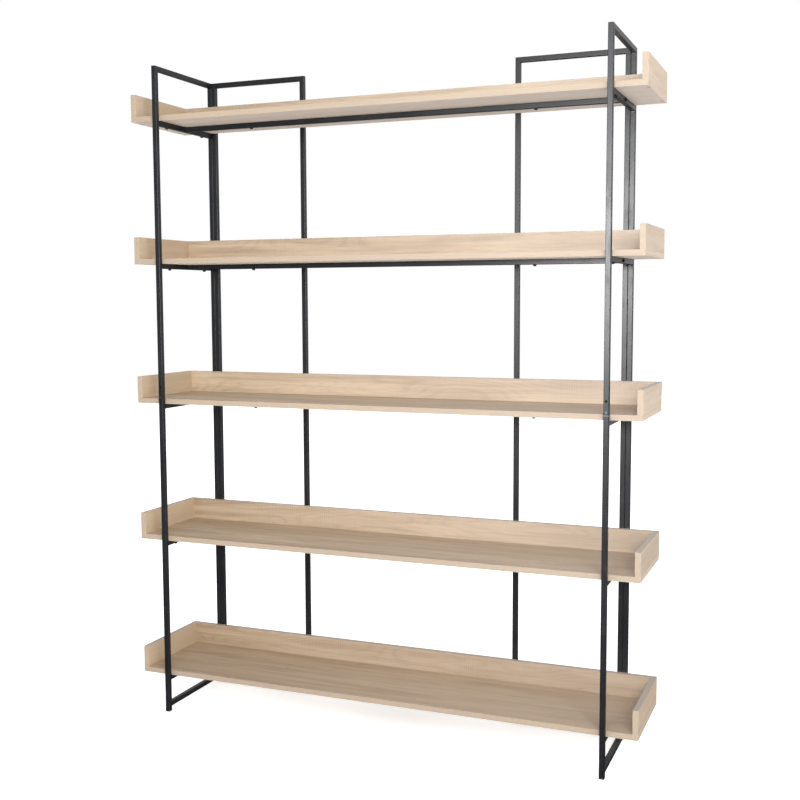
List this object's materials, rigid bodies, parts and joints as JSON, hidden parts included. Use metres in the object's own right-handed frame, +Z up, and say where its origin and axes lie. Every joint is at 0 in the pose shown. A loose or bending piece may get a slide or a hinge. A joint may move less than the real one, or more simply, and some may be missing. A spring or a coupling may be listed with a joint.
{
  "type": "bookcase",
  "caption": "Tall open bookcase: slim square steel tube frames carry long wooden trays that are open at the front and rimmed at the ends and back.",
  "frame": {"origin": "on the floor below the middle of the bookcase: bounding box bottom centre", "axes": "+Z up, front towards -Y, shelves long in X"},
  "size_m": [1.57, 0.336, 2],
  "materials": {
    "powder_coat": "satin dark grey powder coat",
    "oak_board": "pale matt oak laminate with cream edges",
    "black_steel": "black oxide fasteners",
    "zinc_steel": "zinc plated",
    "foot_plastic": "black plastic caps",
    "beech_dowel": "raw beech"
  },
  "bodies": {
    "root": {"left_front_upright_lower": "powder_coat", "left_front_upright_upper": "powder_coat", "left_back_upright_lower": "powder_coat", "left_back_upright_upper": "powder_coat", "left_top_rail": "powder_coat", "left_floor_stretcher": "powder_coat", "left_rear_outer_upright_lower": "powder_coat", "left_rear_outer_upright_upper": "powder_coat", "left_rear_inner_upright_lower": "powder_coat", "left_rear_inner_upright_upper": "powder_coat", "left_rear_top_rail": "powder_coat", "left_rear_bottom_rail": "powder_coat", "right_front_upright_lower": "powder_coat", "right_front_upright_upper": "powder_coat", "right_back_upright_lower": "powder_coat", "right_back_upright_upper": "powder_coat", "right_top_rail": "powder_coat", "right_floor_stretcher": "powder_coat", "right_rear_outer_upright_lower": "powder_coat", "right_rear_outer_upright_upper": "powder_coat", "right_rear_inner_upright_lower": "powder_coat", "right_rear_inner_upright_upper": "powder_coat", "right_rear_top_rail": "powder_coat", "right_rear_bottom_rail": "powder_coat", "shelf_1_side_rails": "powder_coat", "shelf_1_centre_rail": "powder_coat", "shelf_1_base_board": "oak_board", "shelf_1_back_panel": "oak_board", "shelf_1_end_panels": "oak_board", "shelf_2_side_rails": "powder_coat", "shelf_2_centre_rail": "powder_coat", "shelf_2_base_board": "oak_board", "shelf_2_back_panel": "oak_board", "shelf_2_end_panels": "oak_board", "shelf_3_side_rails": "powder_coat", "shelf_3_centre_rail": "powder_coat", "shelf_3_base_board": "oak_board", "shelf_3_back_panel": "oak_board", "shelf_3_end_panels": "oak_board", "shelf_4_side_rails": "powder_coat", "shelf_4_centre_rail": "powder_coat", "shelf_4_base_board": "oak_board", "shelf_4_back_panel": "oak_board", "shelf_4_end_panels": "oak_board", "shelf_5_side_rails": "powder_coat", "shelf_5_centre_rail": "powder_coat", "shelf_5_base_board": "oak_board", "shelf_5_back_panel": "oak_board", "shelf_5_end_panels": "oak_board", "splice_pins": "zinc_steel", "foot_caps": "foot_plastic", "splice_screws": "zinc_steel", "splice_grub_screws": "black_steel", "tray_bolts": "black_steel", "centre_rail_bolts": "black_steel", "centre_rail_inserts": "zinc_steel", "tray_screws": "black_steel", "tray_dowels": "beech_dowel", "frame_link_bolts": "black_steel", "frame_link_nuts": "zinc_steel"}
  },
  "joints": []
}
